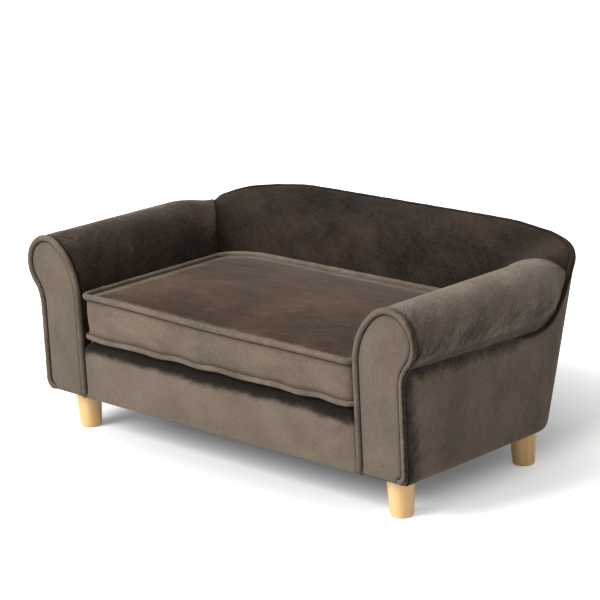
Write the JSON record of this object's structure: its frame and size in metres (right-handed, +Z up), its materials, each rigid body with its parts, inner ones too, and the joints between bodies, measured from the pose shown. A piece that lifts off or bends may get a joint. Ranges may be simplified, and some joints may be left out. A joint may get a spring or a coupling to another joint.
{
  "type": "dog sofa bed",
  "caption": "Small upholstered sofa bed for a pet with scroll arms, a raked wrap-round back, a padded front rail, a loose box cushion with piped edges and turned wooden legs.",
  "frame": {"origin": "middle of the footprint, on the floor", "axes": "+X to the right and along the seat, -Y towards the front, +Z up"},
  "size_m": [0.7098, 0.3876, 0.2862],
  "materials": {
    "velvet": "short-pile velvet, taupe",
    "velvet_piping": "short-pile velvet over a round cord",
    "leg_wood": "clear satin lacquer",
    "frame_wood": "sawn, unfinished",
    "foam": "open-cell upholstery foam",
    "black_cloth": "thin non-woven cloth",
    "tube_board": "wound fibre tube",
    "steel": "zinc plated",
    "zip_tape": "coil zip, dyed",
    "zip_metal": "enamelled"
  },
  "bodies": {
    "sofa_frame": {"front_left_leg": "leg_wood", "front_right_leg": "leg_wood", "rear_left_leg": "leg_wood", "rear_right_leg": "leg_wood", "hanger_bolts": "steel", "tee_nuts": "steel", "leg_blocks": "frame_wood", "base_board": "frame_wood", "front_rail_board": "frame_wood", "rear_rail_board": "frame_wood", "centre_brace": "frame_wood", "seat_board": "frame_wood", "deck_cloth": "black_cloth", "dust_cover": "black_cloth", "cover_staples": "steel", "left_arm_formers": "frame_wood", "right_arm_formers": "frame_wood", "left_arm_board": "frame_wood", "right_arm_board": "frame_wood", "left_roll_tube": "tube_board", "right_roll_tube": "tube_board", "left_tack_rail": "frame_wood", "right_tack_rail": "frame_wood", "left_arm_foam": "foam", "right_arm_foam": "foam", "left_arm_cover": "velvet", "right_arm_cover": "velvet", "left_arm_facing": "velvet", "right_arm_facing": "velvet", "left_arm_piping": "velvet_piping", "right_arm_piping": "velvet_piping", "back_panel": "frame_wood", "back_foam": "foam", "inside_back_cover": "velvet", "outer_cover": "velvet", "back_piping": "velvet_piping", "front_rail_foam": "foam", "front_rail_cover": "velvet"},
    "cushion": {"cushion_foam": "foam", "cushion_top_panel": "velvet", "cushion_band": "velvet", "cushion_bottom_panel": "velvet", "cushion_top_piping": "velvet_piping", "cushion_bottom_piping": "velvet_piping", "zip_chain": "zip_tape"},
    "zip_slider": {"zip_slider": "zip_metal"},
    "zip_pull": {"zip_pull": "zip_metal"}
  },
  "joints": [
    {"name": "cushion_lift", "type": "slide", "parent": "sofa_frame", "child": "cushion", "axis": [0, 0, 1], "range_m": [0, 0.25]},
    {"name": "zip_slide", "type": "slide", "parent": "cushion", "child": "zip_slider", "axis": [1, 0, 0], "range_m": [0, 0.3]},
    {"name": "zip_pull_swing", "type": "hinge", "parent": "zip_slider", "child": "zip_pull", "pos_m": [-0.152, 0.10722, 0.171], "axis": [1, 0, 0], "range_deg": [-4, 12]}
  ]
}
